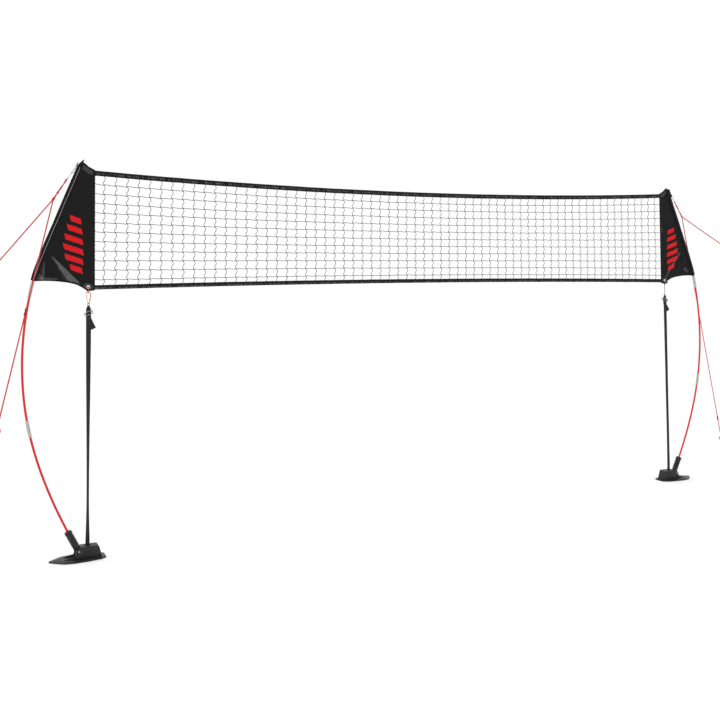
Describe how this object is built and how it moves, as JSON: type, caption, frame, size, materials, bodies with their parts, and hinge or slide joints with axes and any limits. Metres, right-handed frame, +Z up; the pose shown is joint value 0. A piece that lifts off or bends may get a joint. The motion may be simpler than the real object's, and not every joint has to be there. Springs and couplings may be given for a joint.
{
  "type": "portable badminton net",
  "caption": "Portable badminton net: bowed sectional poles in fabric end panels, sagging mesh between tapes, folding feet, tension straps with buckles, and guy lines with runners.",
  "frame": {"origin": "floor level, midway between the two ends, in the plane of the net", "axes": "+X along the net towards its right end, +Y across the net away from the viewer, +Z up"},
  "size_m": [4.4065, 0.9761, 1.594],
  "materials": {
    "moulding": "moulded black plastic, satin",
    "fibreglass": "glossy red fibreglass rod",
    "ferrule": "polished plated tube",
    "chrome": "bright plated steel",
    "steel": "plain steel rivet",
    "panel_fabric": "black woven polyester",
    "webbing": "black woven tape",
    "twine": "dark grey net twine",
    "guy_cord": "red braided cord",
    "elastic": "elastic cord",
    "runner": "dark red moulded plastic"
  },
  "bodies": {
    "net_frame": {"top_tape": "webbing", "bottom_tape": "webbing", "net_mesh": "twine", "left_pole_boot": "moulding", "left_pole_lower": "fibreglass", "left_pole_middle": "fibreglass", "left_pole_upper": "fibreglass", "left_ferrule_lower": "ferrule", "left_ferrule_upper": "ferrule", "left_shock_cord": "elastic", "left_pole_sleeve": "panel_fabric", "left_end_panel": "panel_fabric", "left_grommet": "chrome", "left_hook_link": "chrome", "left_strap_hook": "chrome", "left_strap": "webbing", "left_guy_tab": "webbing", "left_guy_clip": "chrome", "left_guy_bridle": "guy_cord", "left_guy_front": "guy_cord", "left_guy_back": "guy_cord", "right_pole_boot": "moulding", "right_pole_lower": "fibreglass", "right_pole_middle": "fibreglass", "right_pole_upper": "fibreglass", "right_ferrule_lower": "ferrule", "right_ferrule_upper": "ferrule", "right_shock_cord": "elastic", "right_pole_sleeve": "panel_fabric", "right_end_panel": "panel_fabric", "right_grommet": "chrome", "right_hook_link": "chrome", "right_strap_hook": "chrome", "right_strap": "webbing", "right_guy_tab": "webbing", "right_guy_clip": "chrome", "right_guy_bridle": "guy_cord", "right_guy_front": "guy_cord", "right_guy_back": "guy_cord"},
    "left_base": {"left_base": "moulding", "left_pivot_bolt": "steel", "left_strap_anchor_pin": "steel", "left_strap_end_loop": "webbing"},
    "left_strap_hook_gate": {"left_strap_hook_gate": "chrome"},
    "left_guy_clip_gate": {"left_guy_clip_gate": "chrome"},
    "left_strap_buckle": {"left_strap_buckle": "chrome", "left_strap_tail": "webbing"},
    "left_runner_front": {"left_runner_front": "runner"},
    "left_runner_back": {"left_runner_back": "runner"},
    "right_base": {"right_base": "moulding", "right_pivot_bolt": "steel", "right_strap_anchor_pin": "steel", "right_strap_end_loop": "webbing"},
    "right_strap_hook_gate": {"right_strap_hook_gate": "chrome"},
    "right_guy_clip_gate": {"right_guy_clip_gate": "chrome"},
    "right_strap_buckle": {"right_strap_buckle": "chrome", "right_strap_tail": "webbing"},
    "right_runner_front": {"right_runner_front": "runner"},
    "right_runner_back": {"right_runner_back": "runner"}
  },
  "joints": [
    {"name": "left_base_fold", "type": "hinge", "parent": "net_frame", "child": "left_base", "pos_m": [-1.575, 0, 0.034], "axis": [0, 1, 0], "range_deg": [0, 60]},
    {"name": "left_strap_hook_gate_hinge", "type": "hinge", "parent": "net_frame", "child": "left_strap_hook_gate", "pos_m": [-1.52975, 0, 1.0321], "axis": [0, 1, 0], "range_deg": [0, 22], "stiffness_Nm_per_rad": 0.01},
    {"name": "left_guy_clip_gate_hinge", "type": "hinge", "parent": "net_frame", "child": "left_guy_clip_gate", "pos_m": [-1.59657, -0.00332, 1.52933], "axis": [-0.8081, 0, 0.589], "range_deg": [0, 22], "stiffness_Nm_per_rad": 0.004},
    {"name": "left_buckle_slide", "type": "slide", "parent": "net_frame", "child": "left_strap_buckle", "axis": [0.015, 0, 0.9999], "range_m": [-0.05, 0]},
    {"name": "left_runner_front_slide", "type": "slide", "parent": "net_frame", "child": "left_runner_front", "axis": [-0.2482, -0.4475, -0.8592], "range_m": [-0.3, 0.3]},
    {"name": "left_runner_back_slide", "type": "slide", "parent": "net_frame", "child": "left_runner_back", "axis": [-0.5614, 0.4386, -0.7018], "range_m": [-0.25, 0.01]},
    {"name": "right_base_fold", "type": "hinge", "parent": "net_frame", "child": "right_base", "pos_m": [1.575, 0, 0.034], "axis": [0, -1, 0], "range_deg": [0, 60]},
    {"name": "right_strap_hook_gate_hinge", "type": "hinge", "parent": "net_frame", "child": "right_strap_hook_gate", "pos_m": [1.52853, 0.00318, 1.0321], "axis": [0.6691, -0.7431, 0], "range_deg": [0, 22], "stiffness_Nm_per_rad": 0.01},
    {"name": "right_guy_clip_gate_hinge", "type": "hinge", "parent": "net_frame", "child": "right_guy_clip_gate", "pos_m": [1.59657, 0.00332, 1.52933], "axis": [0.8081, 0, 0.589], "range_deg": [0, 22], "stiffness_Nm_per_rad": 0.004},
    {"name": "right_buckle_slide", "type": "slide", "parent": "net_frame", "child": "right_strap_buckle", "axis": [-0.015, 0, 0.9999], "range_m": [-0.05, 0]},
    {"name": "right_runner_front_slide", "type": "slide", "parent": "net_frame", "child": "right_runner_front", "axis": [0.6629, -0.4411, -0.6049], "range_m": [-0.16, 0.01]},
    {"name": "right_runner_back_slide", "type": "slide", "parent": "net_frame", "child": "right_runner_back", "axis": [0.4919, 0.3057, -0.8152], "range_m": [-0.9, 0.05]}
  ]
}
